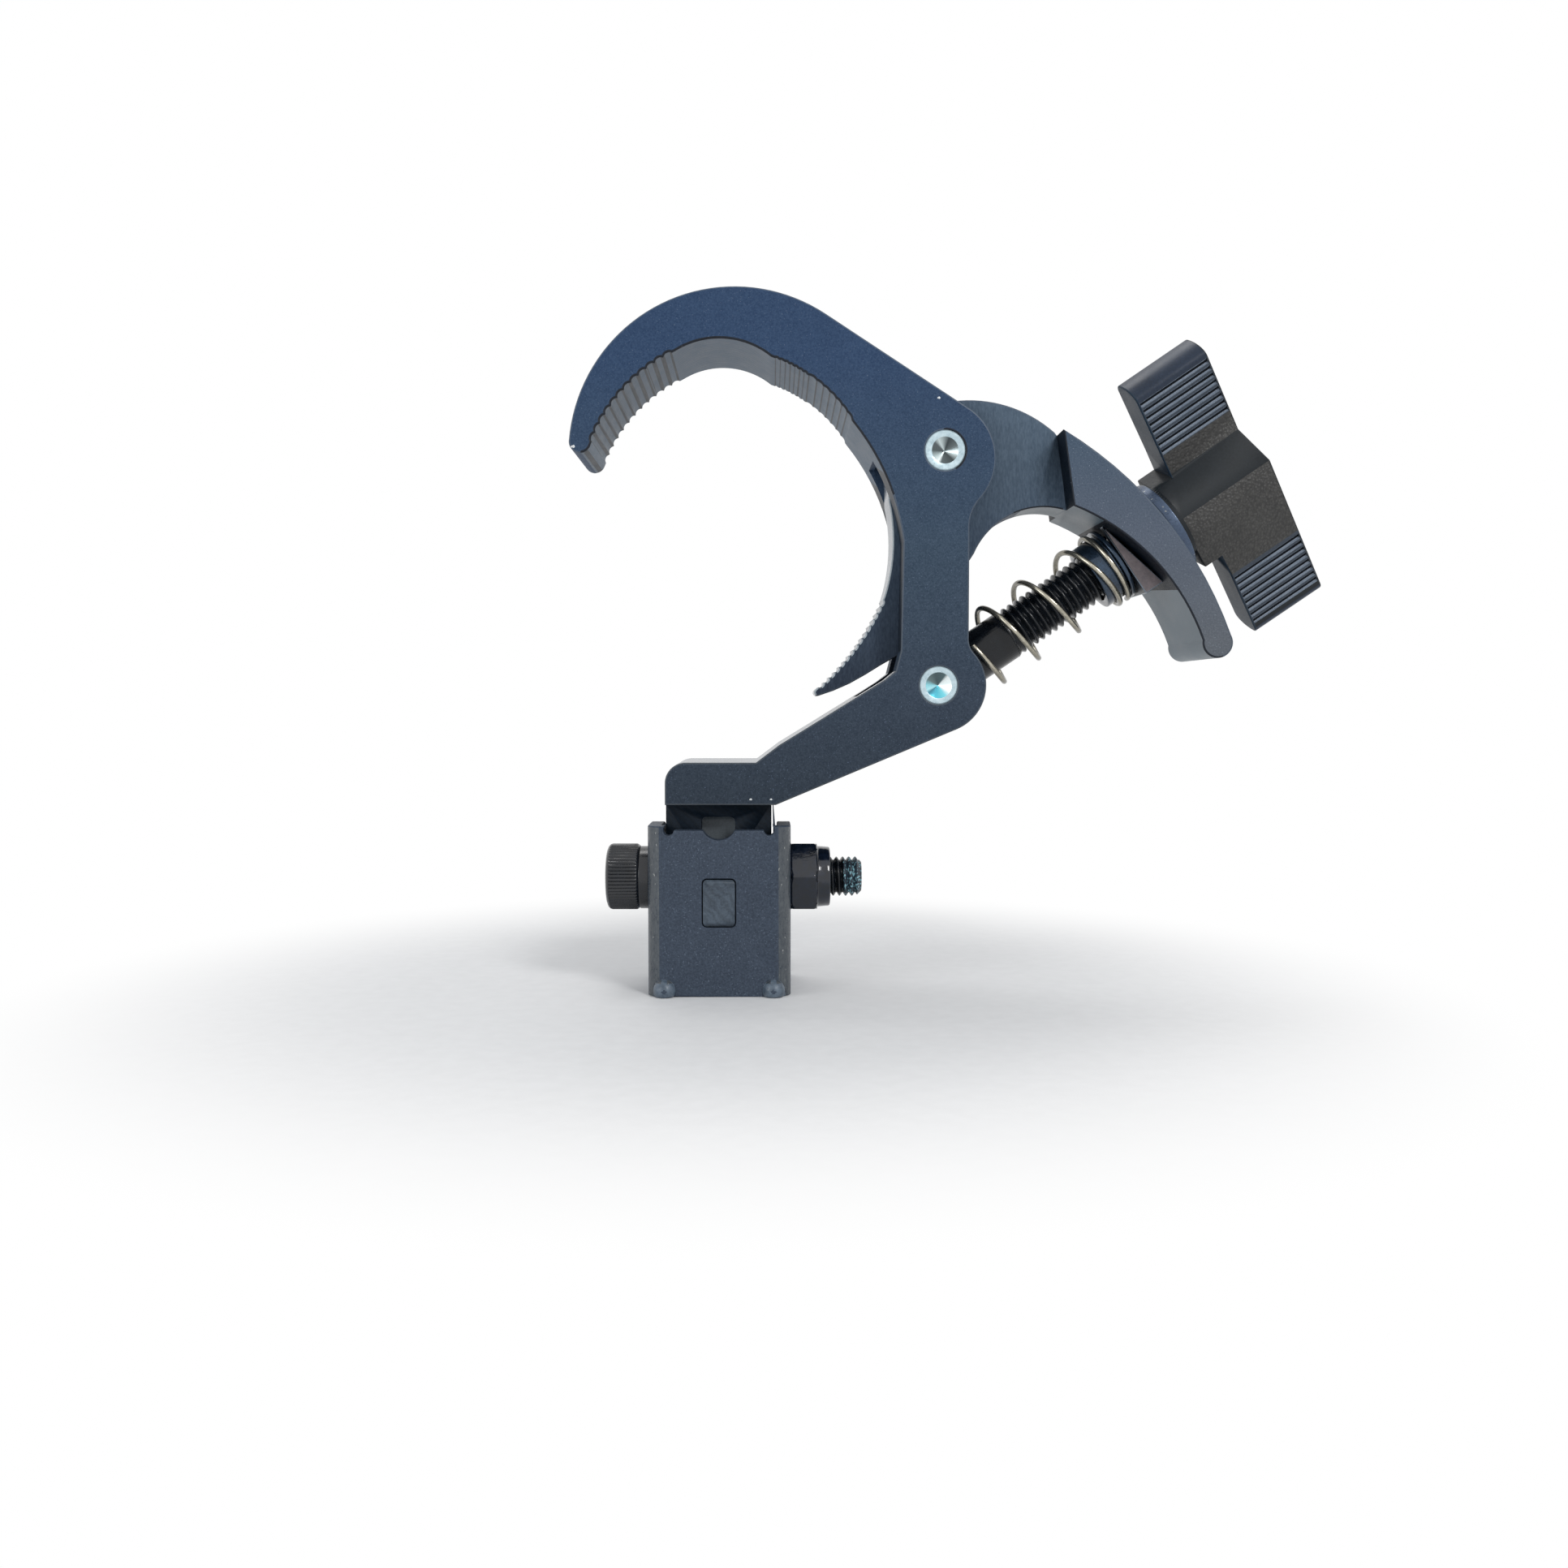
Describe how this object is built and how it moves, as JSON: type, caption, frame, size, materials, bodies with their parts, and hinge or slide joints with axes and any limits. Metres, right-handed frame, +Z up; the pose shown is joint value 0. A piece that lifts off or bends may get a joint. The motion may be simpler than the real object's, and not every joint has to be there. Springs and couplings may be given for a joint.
{
  "type": "pipe clamp",
  "caption": "Stage pipe clamp: a fixed hook with serrated inner faces, a pivoting jaw lever, a swinging eye bolt with spring and wing knob, on a small U bracket.",
  "frame": {"origin": "on the pipe's axis, midway across the clamp's width", "axes": "+Y along the pipe, away from the front; +Z up from the bracket's base; +X towards the knob"},
  "size_m": [0.1512, 0.0268, 0.1359],
  "materials": {
    "navy_powder_coat": "semi-matt powder coat on an aluminium extrusion",
    "bright_pin": "bright turned steel",
    "bracket_black": "black painted sheet steel",
    "black_oxide": "glossy black plated steel",
    "dark_steel": "dull dark steel",
    "zinc": "zinc plated steel",
    "nylon": "matt nylon",
    "bare_steel": "bare spring steel",
    "bare_alloy": "bare cut alloy",
    "knob_plastic": "textured moulded plastic"
  },
  "bodies": {
    "hook": {"hook_body": "navy_powder_coat", "upper_pivot_pin": "bright_pin", "lower_pivot_pin": "bright_pin", "mounting_bracket": "bracket_black", "bracket_screw": "black_oxide", "spring_washer": "dark_steel", "lock_nut": "black_oxide", "lock_nut_insert": "nylon"},
    "lever": {"lever_jaw": "navy_powder_coat", "wedge_washer": "bare_alloy"},
    "bolt": {"eye_bolt": "black_oxide", "retaining_ring": "dark_steel", "coil_spring": "bare_steel"},
    "bush": {"spring_bush": "black_oxide"},
    "carriage": {"knob_washer": "dark_steel"},
    "knob": {"wing_knob": "knob_plastic", "knob_insert": "zinc"}
  },
  "joints": [
    {"name": "lever_swing", "type": "hinge", "parent": "hook", "child": "lever", "pos_m": [0.03955, 0, 0.0065], "axis": [0, 1, 0], "range_deg": [0, 22]},
    {"name": "bolt_swing", "type": "hinge", "parent": "hook", "child": "bolt", "pos_m": [0.03855, 0, -0.0383], "axis": [0, 1, 0], "range_deg": [0, 11]},
    {"name": "bush_slide", "type": "slide", "parent": "bolt", "child": "bush", "axis": [-0.8271, 0, -0.5621], "range_m": [0, 0.01621], "deforming": ["coil_spring"]},
    {"name": "carriage_slide", "type": "slide", "parent": "bolt", "child": "carriage", "axis": [-0.8271, 0, -0.5621], "range_m": [0, 0.01456]},
    {"name": "knob_turn", "type": "hinge", "parent": "carriage", "child": "knob", "pos_m": [0.08818, 0, -0.00458], "axis": [-0.8271, 0, -0.5621], "range_deg": [0, 3492], "stiffness_Nm_per_rad": 0.000095, "springref_deg": -859.44}
  ],
  "couplings": [
    {"joint": "carriage_slide", "follows": "knob_turn", "m_per_rad": 0.00023873},
    {"joint": "lever_swing", "follows": "knob_turn", "ratio": 0.006299},
    {"joint": "bolt_swing", "follows": "knob_turn", "ratio": 0.0031495},
    {"joint": "bush_slide", "follows": "knob_turn", "m_per_rad": 0.00026582}
  ]
}
